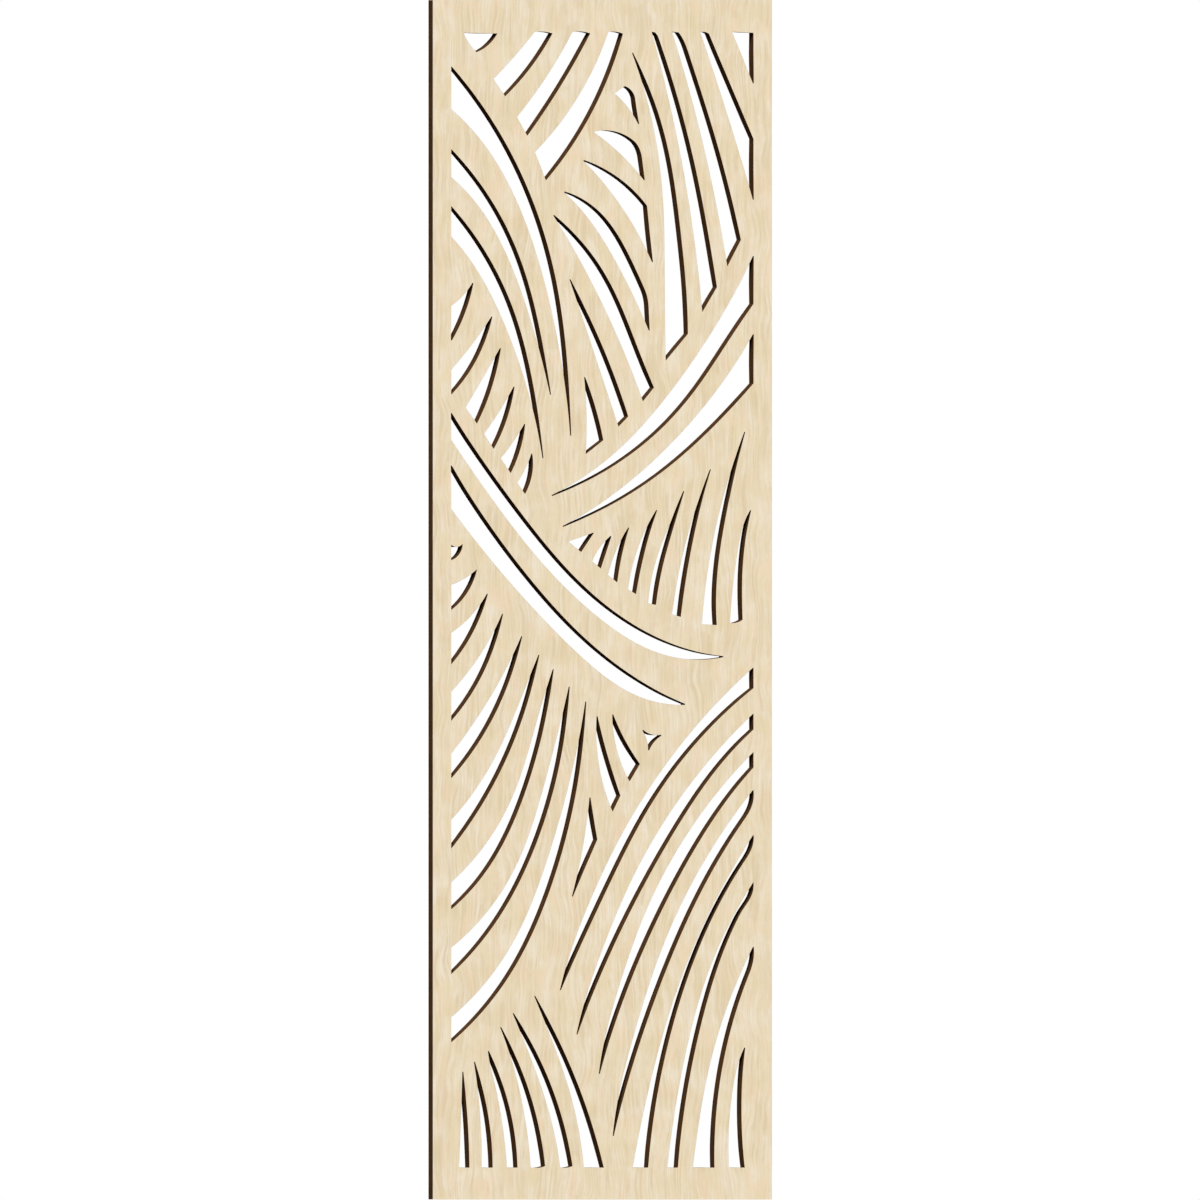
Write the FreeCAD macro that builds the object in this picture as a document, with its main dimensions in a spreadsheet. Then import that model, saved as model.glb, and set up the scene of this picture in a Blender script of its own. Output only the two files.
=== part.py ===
"""Fretwork panel: a veneered board with sheaves of tapered, curved slots cut right through it.

The board stands upright. X runs across it, the face looks along -Y, Z is up, and the origin is at
the middle of the bottom edge. All sizes are in millimetres.
"""
import FreeCAD, Part
import os

from FreeCAD import Rotation, Vector

# Driving dimensions
SIZES = {
    "panel_width": 364.0,
    "panel_height": 1200.0,
    "left_margin": 20.0,
    "right_margin": 20.0,
    "top_margin": 32.0,
    "bottom_margin": 32.0,
    "veneer_thickness": 0.6,
    "core_thickness": 10.8,
    "cutter_overrun": 1.0,
}

# The slot drawing. It is measured from the board's lower left corner, across and then up.
# A slot is listed round its outline: a pair in round brackets is a corner, and the pairs in square
# brackets after it are points that the curved side to the next corner passes through.
SHEAVES = {
    "top_left_rays": (
        ((33.3, 1167), (69, 1166.3), [(60, 1155.6)], (47, 1148), [(39.1, 1156.8)]),
        ((109.5, 1168), (120.5, 1168), (128.3, 1166.5), [(110, 1139)], (77.7, 1103.9),
         (65.3, 1121), [(90.1, 1145.9)]),
        ((150, 1168), (162, 1168), (168.7, 1166.5), [(140, 1118.5)], (101.5, 1064.5),
         (90.5, 1083), [(120, 1120.2)]),
        ((188.6, 1168), (197, 1168), (203.9, 1166.3), [(160, 1070)], (121.5, 1019.8),
         (109.8, 1047.9), [(143, 1084.8)]),
    ),
    "left_sweep": (
        ((20, 1133.5), [(69.2, 1070.9), (106.4, 1000.7), (138.5, 884.5)], (148, 764.2),
         [(137, 844.7), (118.4, 923.8), (82, 1015.1)], (20, 1091)),
        ((20, 1050.5), [(63.6, 998.2), (106.2, 903.8), (119.8, 845)], (126.4, 805.2),
         [(115.7, 845), (106, 877.5), (66.8, 968.5)], (20, 1022.9)),
        ((20, 993.5), [(62, 939), (101.4, 842), (112.3, 789)], (118.2, 741.6),
         [(104.4, 801.7), (57.3, 914.6)], (20, 963.5)),
    ),
    "left_feather": (
        ((43.1, 916.8), [(34, 886)], (20, 859.6), (20, 894), [(30.5, 902)]),
        ((63.4, 883), [(47.4, 841.2)], (20, 805.6), (20, 830), [(41.2, 854)]),
        ((72.6, 851.5), [(64.5, 816.5)], (47.4, 776.5), (35.5, 792.3)),
        ((87.2, 813), [(78.9, 779.5)], (65.4, 751.2), (55.2, 766), [(72.2, 789.1)]),
        ((98.6, 775.5), [(93.7, 750.5)], (83.6, 727), (73.2, 741.5), [(86.6, 757.8)]),
        ((106.3, 745.9), [(106.3, 725.5)], (99, 706), (90.8, 717.2), [(99.8, 731.2)]),
    ),
    "crown_leaves": (
        ((195.3, 1106.6), (206, 1113.7), [(212.6, 1109.8)], (217.2, 1099.5), (221, 1076),
         [(209.8, 1092.5)]),
        ((172.8, 1068), [(196, 1068.2), (211, 1062.2)], (223.2, 1050.8), (227, 1020),
         [(201.2, 1046.3)]),
        ((162, 1039.5), [(199.3, 1021.9)], (229.8, 994), (235.8, 937.8), [(199.6, 997.2)]),
        ((141.3, 1008), [(166.4, 998.4), (197.4, 966.4)], (231, 902.5), (232.3, 869.5),
         [(204.3, 924.6), (170.2, 978.1)]),
        ((129.8, 984.6), [(158.6, 959), (207, 882.4)], (237.2, 812.3), (225.6, 798.8),
         [(182.8, 894.7)]),
        ((147.3, 920.4), [(181.9, 853.5)], (209.6, 783.4), (199.4, 773.5)),
        ((163, 822.6), [(175, 790.3)], (182.8, 759.6), (164.4, 746), [(165.2, 785)]),
    ),
    "top_right_reeds": (
        ((214.4, 1147), [(238.3, 1096.3), (259.4, 1014.8), (270.8, 923.4)], (273.6, 866),
         (250.2, 839.6), [(249.2, 905), (248.6, 968)]),
        ((235.2, 1168), (238.6, 1167.4), (241.4, 1164), [(268.5, 1082.5), (289.9, 994.7)],
         (304.8, 912.8), (289.4, 888.2), [(275.9, 991.9), (258.3, 1080)]),
        ((257, 1168), (263.8, 1167.4), (267, 1163.2), [(302.7, 1063.5)],
         (330.5, 960), (316.2, 934), [(291.2, 1052.2)]),
        ((287.2, 1168), (292.8, 1167.8), (296.2, 1166.2), (344, 1061), (344, 1000.3),
         [(316.6, 1084.5)]),
        ((321.4, 1168), (344, 1167), (344, 1116.8)),
    ),
    "right_crossing": (
        ((344, 943.6), [(302.8, 872.6), (228.9, 778.1)], (127.8, 704.2),
         [(194.9, 734.6), (301, 835.9)], (344, 896)),
        ((344, 865.3), [(281, 781.8), (200.1, 709.8)], (139.6, 673.3),
         [(197.5, 698.3), (277, 752)], (344, 816.5)),
    ),
    "right_grass": (
        ((145.8, 658.2), (172.8, 667), (159.2, 647.9)),
        ((191.2, 663.5), (180.3, 631.5), (171.2, 638.4), [(179.6, 652)]),
        ((210.2, 672), [(202.5, 643.5)], (197.9, 617.6), (188.2, 624.8), [(197.1, 649.4)]),
        ((240.3, 689.5), [(227.3, 648.1)], (218, 605.9), (209.8, 610.4), [(220.4, 651.7)]),
        ((269.4, 708.5), [(260, 678.2), (252.4, 654)], (239.4, 595), (231.3, 596.5),
         [(236.1, 625.9), (247.8, 660), (258.2, 684.2)]),
        ((297.9, 730.2), [(277.3, 651)], (266, 583), (257, 585.5), [(272.3, 659.3)]),
        ((334.8, 767.8), [(322.6, 720.4), (307.8, 647.4)], (304.6, 574.8), (289, 575.6),
         [(304.2, 673.4)]),
        ((341.1, 689.3), [(333, 640), (331.7, 606)], (332.3, 580), [(326.5, 577.4)],
         (319.2, 577), [(322.9, 618.9), (330.1, 662.5)]),
    ),
    "left_crossing": (
        ((20, 786.5), [(73.1, 713.5), (131, 644.2), (211.9, 577)], (311.6, 543),
         [(258.7, 542.5), (209.6, 561.3), (104.6, 651)], (20, 760.2)),
        ((20, 734), [(72, 659.9), (131.2, 591.5), (195.7, 536)], (270.6, 495.3),
         [(231.6, 499.4), (193.2, 517.6), (130, 569.8)], (20, 691)),
    ),
    "left_fan": (
        ((20, 654.7), [(24.5, 652.7)], (31.9, 655.5), [(28.6, 646)], (20, 639.8)),
        ((47.3, 630.1), [(37, 607.3)], (20, 590.1), (20, 614.8), [(34, 620.9)]),
        ((58.6, 605.8), [(45.3, 571.8)], (20, 535.8), (20, 566.8), [(41.6, 584.1)]),
        ((74.9, 585.7), [(59.7, 538.6)], (20, 479.2), (20, 507.8), [(50.8, 544.4)]),
        ((95.5, 563.4), [(70.5, 493.2)], (20, 421.7), (20, 446), [(60.1, 499.8)]),
        ((113.9, 544.7), [(77, 437.3)], (20, 351.4), (20, 379.8),
         [(50.7, 416.5), (84.6, 477.8)]),
        ((129.3, 530.3), [(107.9, 433), (81.8, 368)], (20, 290.6), (20, 317.2),
         [(61.3, 361.5), (101.5, 444.6)]),
        ((146.4, 512.8), [(135.4, 433.3), (93.5, 319)], (20, 225.8), (20, 251.8),
         [(71.7, 304.5), (105.4, 370.4)]),
        ((164.2, 498), [(142, 359.2), (107, 266.8)], (20, 157.5), (20, 182.2),
         [(70, 233), (105.4, 294.6)]),
    ),
    "middle_shards": (
        ((176.4, 483.1), [(187.7, 443.2)], (201.2, 404), (193, 388.3), [(178.4, 436)]),
        ((193.2, 485), [(206.2, 459.3)], (222.1, 435.6), (211.3, 418.5), [(197.4, 451.5)]),
        ((225.4, 469.3), [(234.5, 464.8)], (245, 464.4), [(236.5, 457)], (231.7, 449.5),
         [(230, 459.9)]),
        ((168.7, 402), (176.4, 360), (149.9, 303.2), [(162.6, 360)]),
    ),
    "right_fan": (
        ((344, 532), [(245, 428.2), (170.2, 301), (150.3, 254)], (137, 209.5),
         [(178, 293), (212, 358.2)], (344, 511.6)),
        ((344, 485.8), [(251.2, 381.8), (184.5, 255), (170.3, 219)], (154.8, 165.2),
         [(210.4, 285.5), (283.3, 403.4)], (344, 470.2)),
        ((344, 447.2), [(258, 342.4), (201.3, 215), (189.9, 180)], (178.8, 125.8),
         [(229.1, 256.4), (293.5, 369.6)], (344, 432.2)),
        ((344, 409.7), [(265.4, 292.5), (227.5, 200.8), (202.8, 118)], (193.7, 63.6),
         [(219, 147.9), (269.4, 271.9)], (336.9, 384), [(341.9, 392)], (344, 402)),
        ((344, 364), [(297.2, 287.2), (247.4, 165.7)], (214.8, 32), (231, 32),
         [(251.5, 152.3), (278, 233.8)], (336.2, 341.2), [(341.6, 350.4)], (344, 358)),
        ((344, 317), [(306.3, 251.5), (280.3, 180.4)], (252, 32), (262.9, 32),
         [(277.6, 132.4), (305.7, 232.9)], (335.5, 294.5), [(342, 303.3)], (344, 310.5)),
        ((344, 252.4), [(309.6, 175), (287.9, 89.1)], (279.2, 32), (302.1, 32),
         [(306.2, 105.5)], (339.5, 226), [(343.2, 236)], (344, 246)),
        ((334.8, 151.6), [(331.1, 91)], (334.6, 32), (318.1, 32), [(318.3, 77), (324.6, 123)]),
    ),
    "foot_grass": (
        ((32.3, 127.5), [(36.8, 85)], (39.2, 32), (28.5, 32)),
        ((44.7, 137.5), [(58, 91)], (64.1, 32), (52.6, 32), [(50.3, 93)]),
        ((59.7, 148.3), [(81, 96)], (90.7, 32), (79.8, 32), [(72.2, 90.6), (64.1, 126)]),
        ((72.9, 172.2), [(104.2, 105.5)], (120.4, 33.4), (115, 32), (105.2, 32), [(93, 110.5)]),
        ((86.3, 186.2), [(126.5, 114.8)], (149.8, 33.4), (144, 32), (137, 32),
         [(115.3, 117), (101.5, 150)]),
        ((109.5, 203.4), [(143.2, 142.6)], (183.3, 32), (162.3, 32),
         [(143.6, 119.5), (126.6, 162.5)]),
    ),
}

# The glued layers from the face to the back, each with the thickness that it takes
LAYERS = (
    ("face_veneer", "veneer_thickness"),
    ("core_board", "core_thickness"),
    ("back_veneer", "veneer_thickness"),
)

VOLUME_TOLERANCE = 1e-6


def make_sheet(doc):
    """Keep the driving dimensions in a spreadsheet, one named cell each."""
    sheet = doc.addObject("Spreadsheet::Sheet", "Sizes")
    for row, (name, value) in enumerate(SIZES.items(), start=1):
        sheet.set(f"A{row}", name)
        sheet.set(f"B{row}", str(value))
        sheet.setAlias(f"B{row}", name)
    doc.recompute()
    return sheet


def drawing_reach(axis):
    """Lowest and highest corner of the whole drawing along one axis."""
    corners = [
        item[axis]
        for slots in SHEAVES.values()
        for slot in slots
        for item in slot
        if isinstance(item, tuple)
    ]
    return min(corners), max(corners)


def make_layout(sheet):
    """Return a function that lays a drawing point on the field inside the margins."""
    low_x, high_x = drawing_reach(0)
    low_z, high_z = drawing_reach(1)
    field_left = sheet.left_margin - sheet.panel_width / 2
    field_width = sheet.panel_width - sheet.left_margin - sheet.right_margin
    field_height = sheet.panel_height - sheet.bottom_margin - sheet.top_margin

    def lay(point):
        across = (point[0] - low_x) / (high_x - low_x)
        up = (point[1] - low_z) / (high_z - low_z)
        return Vector(field_left + across * field_width, sheet.bottom_margin + up * field_height, 0)

    return lay


def tangent_arc(before, end):
    """An arc that runs on smoothly from the end of the one before it to a point."""
    start = before.EndPoint
    heading = before.tangent(before.LastParameter)[0]
    chord = end - start
    bow = heading.cross(chord).z / (chord.Length + heading.dot(chord))
    middle = start + (chord + Vector(chord.y, -chord.x, 0) * bow) * 0.5
    return Part.Arc(start, middle, end)


def side_curves(start, through, end):
    """One side of a slot: a straight line, or arcs that follow on from each other."""
    if not through:
        return [Part.LineSegment(start, end)]
    first, second, third, *others = [start, *through, end]
    arcs = [Part.Arc(first, second, third)]
    for point in others:
        arcs.append(tangent_arc(arcs[-1], point))
    return arcs


def slot_sides(slot, lay):
    """The closed ring of sides round one slot."""
    corners = []
    bends = []
    for item in slot:
        if isinstance(item, tuple):
            corners.append(lay(item))
            bends.append([])
        else:
            bends[-1] = [lay(point) for point in item]
    following = corners[1:] + corners[:1]
    return [curve for side in zip(corners, bends, following) for curve in side_curves(*side)]


def make_sheaf(doc, name, slots, lay, stack):
    """Draw one sheaf of slots on the board's middle plane and run it out through all the layers."""
    sketch = doc.addObject("Sketcher::SketchObject", f"{name}_drawing")
    sketch.Placement.Rotation = Rotation(Vector(1, 0, 0), 90)
    for slot in slots:
        sketch.addGeometry(slot_sides(slot, lay), False)
    cutter = doc.addObject("Part::Extrusion", f"{name}_cutter")
    cutter.Base = sketch
    cutter.DirMode = "Normal"
    cutter.Solid = True
    cutter.Symmetric = True
    cutter.setExpression("LengthFwd", f"{stack} + 2 * Sizes.cutter_overrun")
    return cutter


def make_layer(doc, name, thickness, front, fretwork):
    """One layer of the board, with every slot cut through it."""
    blank = doc.addObject("Part::Box", f"{name}_blank")
    blank.setExpression("Length", "Sizes.panel_width")
    blank.setExpression("Width", thickness)
    blank.setExpression("Height", "Sizes.panel_height")
    blank.setExpression("Placement.Base.x", "-Sizes.panel_width / 2")
    blank.setExpression("Placement.Base.y", front)
    layer = doc.addObject("Part::Cut", name)
    layer.Label = name
    layer.Base = blank
    layer.Tool = fretwork
    layer.Refine = False
    return layer


def check(doc, layers, fretwork, slot_count, cutter_length):
    """Stop unless every object came out and every slot is cut right through every layer."""
    for item in doc.Objects:
        if "Invalid" in item.State or "Error" in item.State:
            raise RuntimeError(f"{item.Label} failed: {item.State}")
    if len(fretwork.Shape.Solids) != slot_count:
        raise RuntimeError(f"{len(fretwork.Shape.Solids)} slots came out of {slot_count}")
    open_area = fretwork.Shape.Volume / cutter_length
    for layer in layers:
        if layer.Shape.isNull() or not layer.Shape.isValid() or len(layer.Shape.Solids) != 1:
            raise RuntimeError(f"{layer.Label} isn't one valid solid")
        blank_area = layer.Base.Length.Value * layer.Base.Height.Value
        expected = (blank_area - open_area) * layer.Base.Width.Value
        if abs(layer.Shape.Volume / expected - 1) > VOLUME_TOLERANCE:
            raise RuntimeError(f"{layer.Label} has {layer.Shape.Volume} mm3, not {expected}")


def main():
    doc = FreeCAD.newDocument("FretworkPanel")
    sheet = make_sheet(doc)
    lay = make_layout(sheet)
    stack = "(" + " + ".join(f"Sizes.{thickness}" for name, thickness in LAYERS) + ")"

    cutters = [make_sheaf(doc, name, slots, lay, stack) for name, slots in SHEAVES.items()]
    fretwork = doc.addObject("Part::Compound", "fretwork")
    fretwork.Links = cutters

    layers = []
    front = f"-{stack} / 2"
    for name, thickness in LAYERS:
        layers.append(make_layer(doc, name, f"Sizes.{thickness}", front, fretwork))
        front += f" + Sizes.{thickness}"
    doc.recompute()

    slot_count = sum(len(slots) for slots in SHEAVES.values())
    check(doc, layers, fretwork, slot_count, cutters[0].LengthFwd.Value)
    os.makedirs("parts", exist_ok=True)
    for layer in layers:
        layer.Shape.exportStep(f"parts/{layer.Label}.step")


main()
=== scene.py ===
"""Fretwork panel: a maple-veneered board pierced by curved slots, with dark burnt cut edges."""
import math

import bmesh
import bpy
import numpy as np
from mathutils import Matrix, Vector
from mathutils.geometry import delaunay_2d_cdt, interpolate_bezier


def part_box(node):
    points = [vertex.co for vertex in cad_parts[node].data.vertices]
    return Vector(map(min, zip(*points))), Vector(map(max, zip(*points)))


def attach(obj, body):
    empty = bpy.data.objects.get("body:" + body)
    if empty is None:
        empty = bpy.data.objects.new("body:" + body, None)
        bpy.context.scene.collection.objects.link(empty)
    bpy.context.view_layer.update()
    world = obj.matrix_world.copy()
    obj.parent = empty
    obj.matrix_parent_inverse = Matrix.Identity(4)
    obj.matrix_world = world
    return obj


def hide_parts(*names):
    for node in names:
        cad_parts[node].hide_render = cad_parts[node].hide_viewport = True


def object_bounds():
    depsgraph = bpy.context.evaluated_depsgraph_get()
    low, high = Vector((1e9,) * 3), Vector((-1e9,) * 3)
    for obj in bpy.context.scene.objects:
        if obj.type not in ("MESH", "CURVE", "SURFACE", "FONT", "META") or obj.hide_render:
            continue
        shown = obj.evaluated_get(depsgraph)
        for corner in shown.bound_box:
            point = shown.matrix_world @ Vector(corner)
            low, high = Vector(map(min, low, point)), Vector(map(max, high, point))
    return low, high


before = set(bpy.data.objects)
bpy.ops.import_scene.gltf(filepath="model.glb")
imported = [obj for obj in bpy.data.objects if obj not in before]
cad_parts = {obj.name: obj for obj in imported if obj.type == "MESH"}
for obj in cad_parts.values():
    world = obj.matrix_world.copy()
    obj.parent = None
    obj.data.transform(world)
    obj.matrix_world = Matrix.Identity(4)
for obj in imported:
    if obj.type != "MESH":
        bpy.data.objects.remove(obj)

MM = 0.001
CAD_LOW, CAD_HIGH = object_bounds()

# Outlines read off the solid core: what counts as one plane, and how finely places are told apart
SAME_PLANE = 0.001 * MM
PLACE_DIGITS = 7

# Smoothing: the turn that makes a corner, the length of a step, and the part of it a handle takes
CORNER_TURN = math.radians(18)
OUTLINE_STEP = 3.0 * MM
HANDLE_PARTS = 3

# Fairing of long sides: stiff along slight bends, and soft within a few steps of a tight one
LEAST_FAIRED = 135.0 * MM
BATTEN_STIFFNESS = 250000.0
SOFT_STIFFNESS = 100.0
TIGHT_BEND = math.radians(3)
TIGHT_REACH = 3

# Rounding of mild corners where a curved side ends
MILD_TURN = math.radians(30)
LEAST_BEND = math.radians(0.02)
MOST_BEND = math.radians(10)
EASED_STEPS = 3
EASED_PULL = 2 / 3

# Cutting: the width burnt off each side of a slot, and the wider burn that fades away from a tip
BURNT_WIDTH = 0.12 * MM
TIP_TURN = math.radians(145)
TIP_BURN = 0.34 * MM
TIP_RUN = 30.0 * MM

# Cutting: how much a slot closes on each side toward the back, fading out before its corners
SLOT_CLOSING = 0.34 * MM
CLOSING_RUN = 20.0 * MM

# Cutting: how far the sharp arris is burnt back, and at most how much further at a corner
ARRIS = 0.1 * MM
ARRIS_MITRE = 1.4
LEAST_SQUARE = 0.1

# Meshes: the turn that shows as a sharp edge, the finish on the cut walls, and a whole filling
SHARP_TURN = math.radians(30)
CUT_FINISH = 1
WHOLE_HULL = 0

# Maple grain: streaks to the metre across, through and up the board, their detail and roughness
DRIFT_STREAKS = ((16.0, 1.0, 10.0), 2.0, 0.5)
RIPPLE_STREAKS = ((60.0, 1.0, 22.0), 1.0, 0.5)
GROWTH_STREAKS = ((330.0, 1.0, 8.0), 2.0, 0.6)
FIBRE_STREAKS = ((560.0, 1.0, 20.0), 2.0, 0.6)
CLOUD_STREAKS = ((62.0, 1.0, 30.0), 3.0, 0.65)
FIGURE_STREAKS = ((42.0, 1.0, 26.0), 3.0, 0.6)
ROSY_STREAKS = ((75.0, 1.0, 34.0), 2.0, 0.5)

# Maple grain: the range taken from each kind of streak, and where it isn't 0 to 1, what it becomes
DRIFT_SHIFT = (0.25, 0.75, -6.0 * MM, 6.0 * MM)
RIPPLE_SHIFT = (0.25, 0.75, -1.0 * MM, 1.0 * MM)
CLOUD_SHARE = (0.30, 0.70)
ROSY_SHARE = (0.48, 0.70, 0.0, 0.6)
GROWTH_SHARE = (0.38, 0.66)
FIGURE_SHARE = (0.38, 0.60, 0.05, 0.85)
FIBRE_SHARE = (0.38, 0.70, 0.0, 0.5)
LACQUER_ROUGHNESS = (0.3, 0.7, 0.46, 0.56)

# Burnt walls: fine lines through the board and slow smoke, in the same terms as the grain
KERF_STREAKS = ((900.0, 30.0, 900.0), 2.0, 0.6)
SMOKE_STREAKS = ((45.0, 60.0, 45.0), 3.0, 0.5)
KERF_WEIGHT = 0.4
BURNT_SHARE = (0.4, 1.0)
CHAR_ROUGHNESS = (0.3, 0.7, 0.7, 0.86)

# Finishes: gloss and relief, and the part of the log that each veneer is sliced from
LACQUER_GLOSS = 0.25
CHAR_GLOSS = 0.0
GRAIN_RELIEF = 0.12
KERF_RELIEF = 0.15
RELIEF_DEPTH = 0.1 * MM
FACE_LOG = (0.0, 0.0, 0.0)
BACK_LOG = (3.1, 5.0, 1.7)

# Camera: square to the panel's height, round to its left, without perspective
VIEW_AZIMUTH = math.radians(-21.2)
VIEW_DISTANCE = 3.0
FRAME_HEIGHT = 1200.6 * MM
FRAME_MIDDLE = 599.7 * MM
FRAME_SHIFT = -0.18 * MM
UPRIGHT = math.radians(90)

# Light: a broad lamp above, left and in front, one low behind on the right, and a plain surround
FRONT_LAMP_FROM = Vector((-0.36, -0.62, 0.70))
FRONT_LAMP_STRENGTH = 4.28
REAR_LAMP_FROM = Vector((0.45, 0.86, 0.24))
REAR_LAMP_STRENGTH = 2.85
LAMP_SPREAD = math.radians(25)
SURROUND = (0.17, 0.17, 0.17, 1.0)
WHITE = (1.0, 1.0, 1.0, 1.0)

# Floor
FLOOR_WIDTH = 8.0
FLOOR_ROUGHNESS = 0.9
FLOOR_SHOWN = (0.86, 0.86, 0.85, 1.0)
FLOOR_BOUNCE = (0.07, 0.07, 0.07, 1.0)


def paint(red, green, blue):
    """A colour as it looks on screen, in steps of 255, as the light values that a shader takes.

    The other numbers are those of the standard screen curve.
    """
    def light(step):
        share = step / 255
        return share / 12.92 if share <= 0.04045 else ((share + 0.055) / 1.055) ** 2.4
    return (light(red), light(green), light(blue), 1.0)


MAPLE_PALE = paint(242, 230, 208)
MAPLE_GOLD = paint(235, 217, 180)
MAPLE_BLUSH = paint(243, 216, 186)
MAPLE_LINE = paint(221, 201, 164)
MAPLE_FIBRE = paint(222, 204, 172)
CHAR_DARK = paint(72, 49, 28)
CHAR_BROWN = paint(86, 58, 35)


def cut_rings(layer):
    """The outlines on a layer's front, each with the wood on its left as seen from the front."""
    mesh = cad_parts[layer].data
    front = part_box(layer)[0].y
    sides = set()
    for polygon in mesh.polygons:
        corners = [mesh.vertices[index].co for index in polygon.vertices]
        if all(abs(corner.y - front) < SAME_PLANE for corner in corners):
            spots = [
                (round(corner.x, PLACE_DIGITS), round(corner.z, PLACE_DIGITS)) for corner in corners
            ]
            sides.update(zip(spots, spots[1:] + spots[:1]))
    following = {start: end for start, end in sides if (end, start) not in sides}
    rings = []
    while following:
        start = min(following)
        ring = [start]
        spot = following.pop(start)
        while spot != start:
            ring.append(spot)
            spot = following.pop(spot)
        rings.append([Vector(spot) for spot in ring])
    return rings


def smooth_run(run):
    """A side between two corners, with its facets turned into a flowing curve."""
    if len(run) == 2:
        start, end = run
        count = max(1, round((end - start).length / OUTLINE_STEP))
        return [start.lerp(end, index / count) for index in range(count + 1)]
    steps = [end - start for start, end in zip(run, run[1:])]
    headings = []
    for before, after in zip(steps, steps[1:]):
        heading = before.normalized() * after.length + after.normalized() * before.length
        headings.append(heading.normalized())
    first = steps[0].normalized()
    last = steps[-1].normalized()
    leaving = 2 * first * first.dot(headings[0]) - headings[0]
    arriving = 2 * last * last.dot(headings[-1]) - headings[-1]
    headings = [leaving, *headings, arriving]
    curve = []
    for index, step in enumerate(steps):
        start, end = run[index], run[index + 1]
        reach = step.length / HANDLE_PARTS
        count = max(1, round(step.length / OUTLINE_STEP))
        curve += interpolate_bezier(
            start, start + headings[index] * reach, end - headings[index + 1] * reach, end, count + 1
        )[:-1]
    return [*curve, run[-1]]


def even_steps(run):
    """A side's length, and its places at even steps along it."""
    places = np.array(run)
    along = np.append(0.0, np.cumsum(np.linalg.norm(np.diff(places, axis=0), axis=1)))
    length = along[-1]
    marks = np.linspace(0.0, length, round(length / OUTLINE_STEP) + 1)
    return length, np.column_stack([np.interp(marks, along, line) for line in places.T])


def faired(run):
    """A long side whose slight bends are spread along it, as a batten's are. Tight bends stay.

    Each row of the unevenness tells how much the bend changes over four neighbouring places. The
    places move to lessen it, held back by their distance from where they were, and the two ends of
    the side stay.
    """
    length, even = even_steps(run)
    if length < LEAST_FAIRED:
        return run
    headings = np.unwrap(np.arctan2(*np.diff(even, axis=0).T))
    bends = np.abs(np.diff(headings))
    alone = np.eye(len(even))
    unevenness = np.diff(alone, n=3, axis=0)
    tightest = np.array([
        bends[max(0, row - TIGHT_REACH):row + TIGHT_REACH + 2].max()
        for row in range(len(unevenness))
    ])
    stiffness = np.where(tightest > TIGHT_BEND, SOFT_STIFFNESS, BATTEN_STIFFNESS)
    pull = alone + unevenness.T @ (stiffness[:, None] * unevenness)
    pull[[0, -1]] = alone[[0, -1]]
    return [Vector(spot) for spot in np.linalg.solve(pull, even)]


def corner_numbers(ring):
    """The places in an outline where it turns sharply."""
    corners = []
    for index, spot in enumerate(ring):
        before = spot - ring[index - 1]
        after = ring[(index + 1) % len(ring)] - spot
        if before.angle(after) > CORNER_TURN:
            corners.append(index)
    return corners


def smooth_ring(ring):
    """A whole outline, smooth between its corners."""
    count = len(ring)
    corners = corner_numbers(ring)
    smooth = []
    for start, end in zip(corners, corners[1:] + [corners[0] + count]):
        run = [ring[index % count] for index in range(start, end + 1)]
        smooth += faired(smooth_run(run))[:-1]
    return smooth


def eased(ring):
    """An outline whose mild corners, where a curved side ends, are rounded over a few steps."""
    soft = list(ring)
    count = len(ring)
    for number in corner_numbers(ring):
        spot = ring[number]
        start = ring[number - EASED_STEPS]
        end = ring[(number + EASED_STEPS) % count]
        near = ring[number - 1]
        turn = (spot - near).angle(ring[(number + 1) % count] - spot)
        bend = (near - ring[number - 2]).angle(spot - near)
        if turn < MILD_TURN and LEAST_BEND < bend < MOST_BEND:
            curve = interpolate_bezier(
                start, start.lerp(spot, EASED_PULL), end.lerp(spot, EASED_PULL), end,
                2 * EASED_STEPS + 1,
            )
            for step, place in enumerate(curve, start=-EASED_STEPS):
                soft[(number + step) % count] = place
    return soft


def opened(ring):
    """A slot's outline moved into the wood by the burnt width, with its sharp tips burnt blunt."""
    headings = [(spot - ring[index - 1]).normalized() for index, spot in enumerate(ring)]
    turns = list(zip(ring, headings, headings[1:] + headings[:1]))
    tips = [spot for spot, before, after in turns if before.angle(after) > TIP_TURN]
    wide = []
    for spot, before, after in turns:
        ways = [Vector((-step.y, step.x)) for step in (before, after)]
        if before.dot(after) > 0:
            ways = [(ways[0] + ways[1]).normalized()]
        nearest = min([(spot - tip).length for tip in tips], default=TIP_RUN)
        width = BURNT_WIDTH + TIP_BURN * max(0.0, 1 - nearest / TIP_RUN)
        wide += [spot + way * width for way in ways]
    return wide


def into_wood(ring):
    """For each point of an outline, the way into the wood beside it."""
    ways = []
    for index, spot in enumerate(ring):
        before = (spot - ring[index - 1]).normalized()
        after = (ring[(index + 1) % len(ring)] - spot).normalized()
        side = Vector((-before.y - after.y, before.x + after.x))
        way = side.normalized()
        square = abs(way.dot(Vector((-before.y, before.x))))
        ways.append(way * min(1 / max(square, LEAST_SQUARE), ARRIS_MITRE))
    return ways


def closing_shares(ring):
    """For each point of a slot, how much of the closing it takes: none at a corner."""
    corners = [ring[number] for number in corner_numbers(ring)]
    return [
        min(1.0, min((spot - corner).length for corner in corners) / CLOSING_RUN) for spot in ring
    ]


def cut_sides():
    """Every outline as points, each with its way into the wood and its share of the closing."""
    edge, *slots = cut_rings("core_board")
    sides = [[(spot, way, 0.0) for spot, way in zip(edge, into_wood(edge))]]
    for slot in slots:
        ring = opened(eased(smooth_ring(slot)))
        sides.append(list(zip(ring, into_wood(ring), closing_shares(ring))))
    return sides


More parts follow.
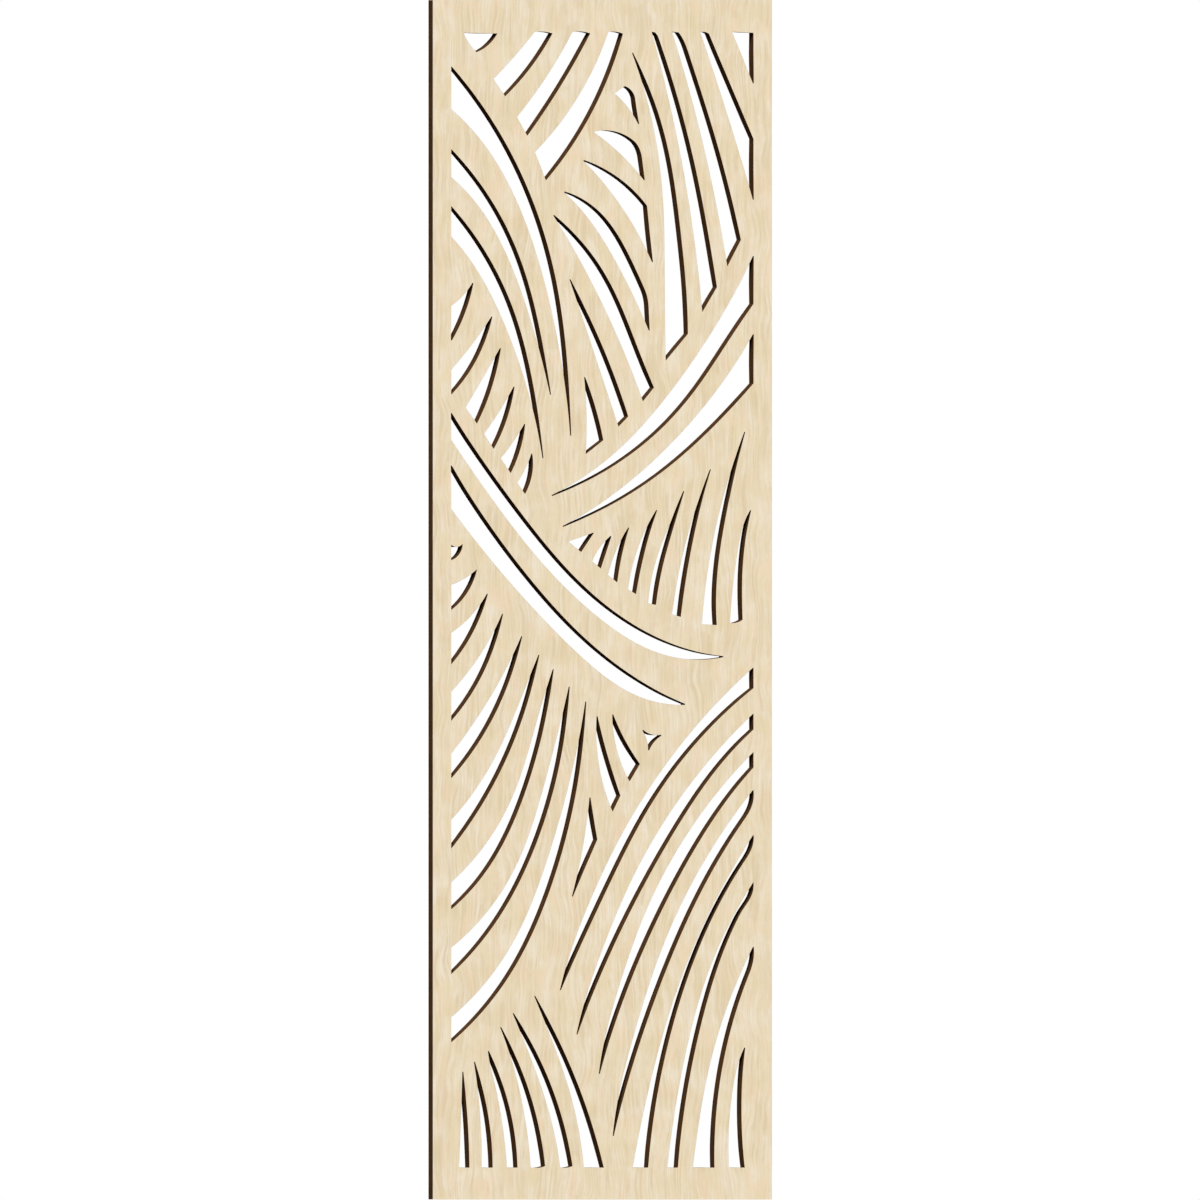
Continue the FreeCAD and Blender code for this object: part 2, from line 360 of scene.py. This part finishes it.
def outlines_at(sides, depth, burnt):
    """The outlines at one depth, where their arris is burnt back so far."""
    closed = SLOT_CLOSING * (depth - CAD_LOW.y) / (CAD_HIGH.y - CAD_LOW.y)
    return [[spot + way * (burnt - closed * share) for spot, way, share in side] for side in sides]


def wood_between(rings):
    """Triangles that fill the wood between the outlines, by the points' numbers in running order.

    The wood lies on the left of every outline, so a triangle between three points of one outline
    that takes them in the opposite order lies in the open slot.
    """
    spots = []
    sides = []
    owners = []
    for owner, ring in enumerate(rings):
        first = len(spots)
        spots += ring
        sides += [(first + index, first + (index + 1) % len(ring)) for index in range(len(ring))]
        owners += [owner] * len(ring)
    filled = delaunay_2d_cdt(spots, sides, [], WHOLE_HULL, 0.0)
    triangles, origins = filled[2], filled[3]
    wood = []
    for corners in triangles:
        numbers = [origins[corner][0] for corner in corners]
        low = numbers.index(min(numbers))
        backward = numbers[(low + 1) % 3] > numbers[(low + 2) % 3]
        if not backward or len({owners[number] for number in numbers}) > 1:
            wood.append(numbers)
    return wood


def pierced_layer(name, sides, levels, finishes):
    """One layer of the board, built up from the same sides of the cuts at each level of depth.

    A level is a depth and how far the arris is burnt back into the wood there. The finishes are
    those of the two faces, and of the cut walls with their burnt arris.
    """
    shape = bmesh.new()
    drawn = [outlines_at(sides, depth, burnt) for depth, burnt in levels]
    rows = [
        [[shape.verts.new((spot.x, depth, spot.y)) for spot in ring] for ring in rings]
        for rings, (depth, burnt) in zip(drawn, levels)
    ]
    for fronts, rears in zip(rows, rows[1:]):
        for front, rear in zip(fronts, rears):
            for index in range(len(front)):
                near = index - 1
                wall = shape.faces.new((front[near], front[index], rear[index], rear[near]))
                wall.material_index = CUT_FINISH
                wall.smooth = True
    for end in (0, -1):
        spots = [spot for ring in rows[end] for spot in ring]
        for triangle in wood_between(drawn[end]):
            shape.faces.new([spots[index] for index in triangle])
    bmesh.ops.recalc_face_normals(shape, faces=shape.faces)
    for edge in shape.edges:
        edge.smooth = edge.calc_face_angle() < SHARP_TURN
    mesh = bpy.data.meshes.new(name)
    shape.to_mesh(mesh)
    shape.free()
    for finish in finishes:
        mesh.materials.append(finish)
    piece = bpy.data.objects.new(name, mesh)
    bpy.context.scene.collection.objects.link(piece)
    return piece


def add_node(tree, kind, values=None, **settings):
    """Place a node, set its own settings, and give its inputs values or links by name or number."""
    node = tree.nodes.new(kind)
    for key, value in settings.items():
        setattr(node, key, value)
    for key, value in (values or {}).items():
        if isinstance(value, bpy.types.NodeSocket):
            tree.links.new(value, node.inputs[key])
        else:
            node.inputs[key].default_value = value
    return node


def streaks(tree, vector, stretch, detail, roughness):
    """Noise drawn out by a different amount along each axis, from 0 to 1."""
    drawn = add_node(tree, "ShaderNodeMapping", {"Vector": vector, "Scale": stretch})
    noise = add_node(
        tree, "ShaderNodeTexNoise",
        {"Vector": drawn.outputs["Vector"], "Scale": 1.0, "Detail": detail, "Roughness": roughness},
    )
    return noise.outputs["Fac"]


def span(tree, value, low, high, to_low=0.0, to_high=1.0):
    """Move a range of values on to another, and hold it at both ends."""
    node = add_node(
        tree, "ShaderNodeMapRange",
        {"Value": value, "From Min": low, "From Max": high, "To Min": to_low, "To Max": to_high},
        interpolation_type="SMOOTHSTEP",
    )
    return node.outputs["Result"]


def mixed(tree, share, first, second):
    """Blend two colours by a share."""
    node = add_node(
        tree, "ShaderNodeMix", {"Factor": share, "A": first, "B": second}, data_type="RGBA"
    )
    return node.outputs["Result"]


def new_group(name, inputs, outputs):
    """An empty shader group with named sockets, and its two end nodes."""
    group = bpy.data.node_groups.new(name, "ShaderNodeTree")
    for label, kind in inputs:
        group.interface.new_socket(label, in_out="INPUT", socket_type=kind)
    for label, kind in outputs:
        group.interface.new_socket(label, in_out="OUTPUT", socket_type=kind)
    return group, group.nodes.new("NodeGroupInput"), group.nodes.new("NodeGroupOutput")


def moved(tree, vector, across):
    """A place moved sideways by a share of its own."""
    step = add_node(tree, "ShaderNodeCombineXYZ", {"X": across}).outputs["Vector"]
    return add_node(
        tree, "ShaderNodeVectorMath", {0: vector, 1: step}, operation="ADD"
    ).outputs["Vector"]


def maple_figure():
    """Upright maple grain: drifting growth lines and fine fibres over pale and rosy clouds."""
    group, given, result = new_group(
        "maple_figure",
        [("Vector", "NodeSocketVector"), ("Log Shift", "NodeSocketVector")],
        [("Color", "NodeSocketColor"), ("Roughness", "NodeSocketFloat"), ("Height", "NodeSocketFloat")],
    )
    place = add_node(
        group, "ShaderNodeVectorMath",
        {0: given.outputs["Vector"], 1: given.outputs["Log Shift"]}, operation="ADD",
    ).outputs["Vector"]
    drift = streaks(group, place, *DRIFT_STREAKS)
    ripple = streaks(group, place, *RIPPLE_STREAKS)
    leaning = moved(group, place, span(group, drift, *DRIFT_SHIFT))
    flowing = moved(group, leaning, span(group, ripple, *RIPPLE_SHIFT))
    growth = streaks(group, flowing, *GROWTH_STREAKS)
    fibres = streaks(group, leaning, *FIBRE_STREAKS)
    clouds = streaks(group, leaning, *CLOUD_STREAKS)
    figured = streaks(group, place, *FIGURE_STREAKS)
    rosy = streaks(group, leaning, *ROSY_STREAKS)

    ground = mixed(group, span(group, clouds, *CLOUD_SHARE), MAPLE_GOLD, MAPLE_PALE)
    blushed = mixed(group, span(group, rosy, *ROSY_SHARE), ground, MAPLE_BLUSH)
    strength = add_node(
        group, "ShaderNodeMath",
        {0: span(group, growth, *GROWTH_SHARE), 1: span(group, figured, *FIGURE_SHARE)},
        operation="MULTIPLY",
    ).outputs["Value"]
    lined = mixed(group, strength, blushed, MAPLE_LINE)
    grained = mixed(group, span(group, fibres, *FIBRE_SHARE), lined, MAPLE_FIBRE)
    group.links.new(grained, result.inputs["Color"])
    group.links.new(span(group, fibres, *LACQUER_ROUGHNESS), result.inputs["Roughness"])
    group.links.new(fibres, result.inputs["Height"])
    return group


def kerf_burn():
    """A burnt cut wall: fine lines straight through the board over slow changes of brown."""
    group, given, result = new_group(
        "kerf_burn",
        [("Vector", "NodeSocketVector"), ("Dark", "NodeSocketColor"), ("Brown", "NodeSocketColor")],
        [("Color", "NodeSocketColor"), ("Roughness", "NodeSocketFloat"), ("Height", "NodeSocketFloat")],
    )
    place = given.outputs["Vector"]
    lines = streaks(group, place, *KERF_STREAKS)
    smoke = streaks(group, place, *SMOKE_STREAKS)
    both = add_node(
        group, "ShaderNodeMath", {0: lines, 1: KERF_WEIGHT, 2: smoke}, operation="MULTIPLY_ADD"
    ).outputs["Value"]
    burnt = mixed(
        group, span(group, both, *BURNT_SHARE), given.outputs["Dark"], given.outputs["Brown"]
    )
    group.links.new(burnt, result.inputs["Color"])
    group.links.new(span(group, smoke, *CHAR_ROUGHNESS), result.inputs["Roughness"])
    group.links.new(lines, result.inputs["Height"])
    return group


def wood_finish(name, group, values, gloss, relief):
    """A finish whose colour, sheen and relief come from a group laid on the object's own place."""
    finish = bpy.data.materials.new(name)
    finish.use_nodes = True
    tree = finish.node_tree
    shader = tree.nodes["Principled BSDF"]
    place = add_node(tree, "ShaderNodeTexCoord").outputs["Object"]
    figure = add_node(tree, "ShaderNodeGroup", node_tree=group)
    tree.links.new(place, figure.inputs["Vector"])
    for label, value in values.items():
        figure.inputs[label].default_value = value
    bump = add_node(
        tree, "ShaderNodeBump",
        {"Height": figure.outputs["Height"], "Strength": relief, "Distance": RELIEF_DEPTH},
    )
    tree.links.new(figure.outputs["Color"], shader.inputs["Base Color"])
    tree.links.new(figure.outputs["Roughness"], shader.inputs["Roughness"])
    tree.links.new(bump.outputs["Normal"], shader.inputs["Normal"])
    shader.inputs["Specular IOR Level"].default_value = gloss
    return finish


def seen_or_reflected(tree):
    """1 for what the camera sees, straight or through a reflection, and 0 for light on the object."""
    path = add_node(tree, "ShaderNodeLightPath").outputs
    seen = add_node(
        tree, "ShaderNodeMath", {0: path["Is Camera Ray"], 1: path["Is Glossy Ray"]},
        operation="MAXIMUM",
    ).outputs["Value"]
    return add_node(
        tree, "ShaderNodeMath", {0: seen, 1: path["Is Transmission Ray"]}, operation="MAXIMUM"
    ).outputs["Value"]


def lay_floor():
    """A pale floor under the panel that sends little light up under the slots."""
    half = FLOOR_WIDTH / 2
    mesh = bpy.data.meshes.new("studio_floor")
    corners = [(-half, -half, CAD_LOW.z), (half, -half, CAD_LOW.z),
               (half, half, CAD_LOW.z), (-half, half, CAD_LOW.z)]
    mesh.from_pydata(corners, [], [(0, 1, 2, 3)])
    floor = bpy.data.objects.new("studio_floor", mesh)
    bpy.context.scene.collection.objects.link(floor)
    finish = bpy.data.materials.new("studio_floor")
    finish.use_nodes = True
    tree = finish.node_tree
    shader = tree.nodes["Principled BSDF"]
    colour = mixed(tree, seen_or_reflected(tree), FLOOR_BOUNCE, FLOOR_SHOWN)
    tree.links.new(colour, shader.inputs["Base Color"])
    shader.inputs["Roughness"].default_value = FLOOR_ROUGHNESS
    shader.inputs["Specular IOR Level"].default_value = 0.0
    mesh.materials.append(finish)


def hang_lamp(name, origin, strength):
    """A broad lamp, far off in the direction that it shines from."""
    bulb = bpy.data.lights.new(name, "SUN")
    bulb.energy = strength
    bulb.angle = LAMP_SPREAD
    lamp = bpy.data.objects.new(name, bulb)
    lamp.rotation_euler = origin.to_track_quat("Z", "Y").to_euler()
    bpy.context.scene.collection.objects.link(lamp)


def light_studio():
    """Two broad lamps and an even surround that the camera sees as white."""
    hang_lamp("front_lamp", FRONT_LAMP_FROM, FRONT_LAMP_STRENGTH)
    hang_lamp("rear_lamp", REAR_LAMP_FROM, REAR_LAMP_STRENGTH)
    world = bpy.data.worlds.new("studio")
    world.use_nodes = True
    tree = world.node_tree
    colour = mixed(tree, seen_or_reflected(tree), SURROUND, WHITE)
    tree.links.new(colour, tree.nodes["Background"].inputs["Color"])
    tree.nodes["Background"].inputs["Strength"].default_value = 1.0
    bpy.context.scene.world = world


def place_camera():
    """A camera without perspective, turned to the panel's left."""
    lens = bpy.data.cameras.new("camera")
    lens.type = "ORTHO"
    lens.ortho_scale = FRAME_HEIGHT
    camera = bpy.data.objects.new("camera", lens)
    away = Vector((math.sin(VIEW_AZIMUTH), -math.cos(VIEW_AZIMUTH), 0.0))
    across = Vector((math.cos(VIEW_AZIMUTH), math.sin(VIEW_AZIMUTH), 0.0))
    aim = Vector((0.0, 0.0, FRAME_MIDDLE)) + across * FRAME_SHIFT
    camera.location = aim + away * VIEW_DISTANCE
    camera.rotation_euler = (UPRIGHT, 0.0, VIEW_AZIMUTH)
    bpy.context.scene.collection.objects.link(camera)
    bpy.context.scene.camera = camera


def build_panel():
    """Veneer, core and veneer, all pierced by the same outlines."""
    sides = cut_sides()
    grain = maple_figure()
    kerf = kerf_burn()
    char = {"Dark": CHAR_DARK, "Brown": CHAR_BROWN}
    face_maple = wood_finish(
        "face_maple", grain, {"Log Shift": FACE_LOG}, LACQUER_GLOSS, GRAIN_RELIEF
    )
    back_maple = wood_finish(
        "back_maple", grain, {"Log Shift": BACK_LOG}, LACQUER_GLOSS, GRAIN_RELIEF
    )
    burnt_edge = wood_finish("burnt_edge", kerf, char, CHAR_GLOSS, KERF_RELIEF)

    front, back = CAD_LOW.y, CAD_HIGH.y
    core_front, core_back = (corner.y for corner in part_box("core_board"))
    layers = (
        ("maple_face", "face_veneer", ((front, ARRIS), (front + ARRIS, 0.0), (core_front, 0.0)),
         (face_maple, burnt_edge)),
        ("board_core", "core_board", ((core_front, 0.0), (core_back, 0.0)),
         (burnt_edge, burnt_edge)),
        ("maple_back", "back_veneer", ((core_back, 0.0), (back - ARRIS, 0.0), (back, ARRIS)),
         (back_maple, burnt_edge)),
    )
    for name, layer, levels, finishes in layers:
        piece = pierced_layer(name, sides, levels, finishes)
        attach(piece, "root")
        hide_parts(layer)


bpy.context.scene.view_settings.view_transform = "Standard"
build_panel()
lay_floor()
light_studio()
place_camera()
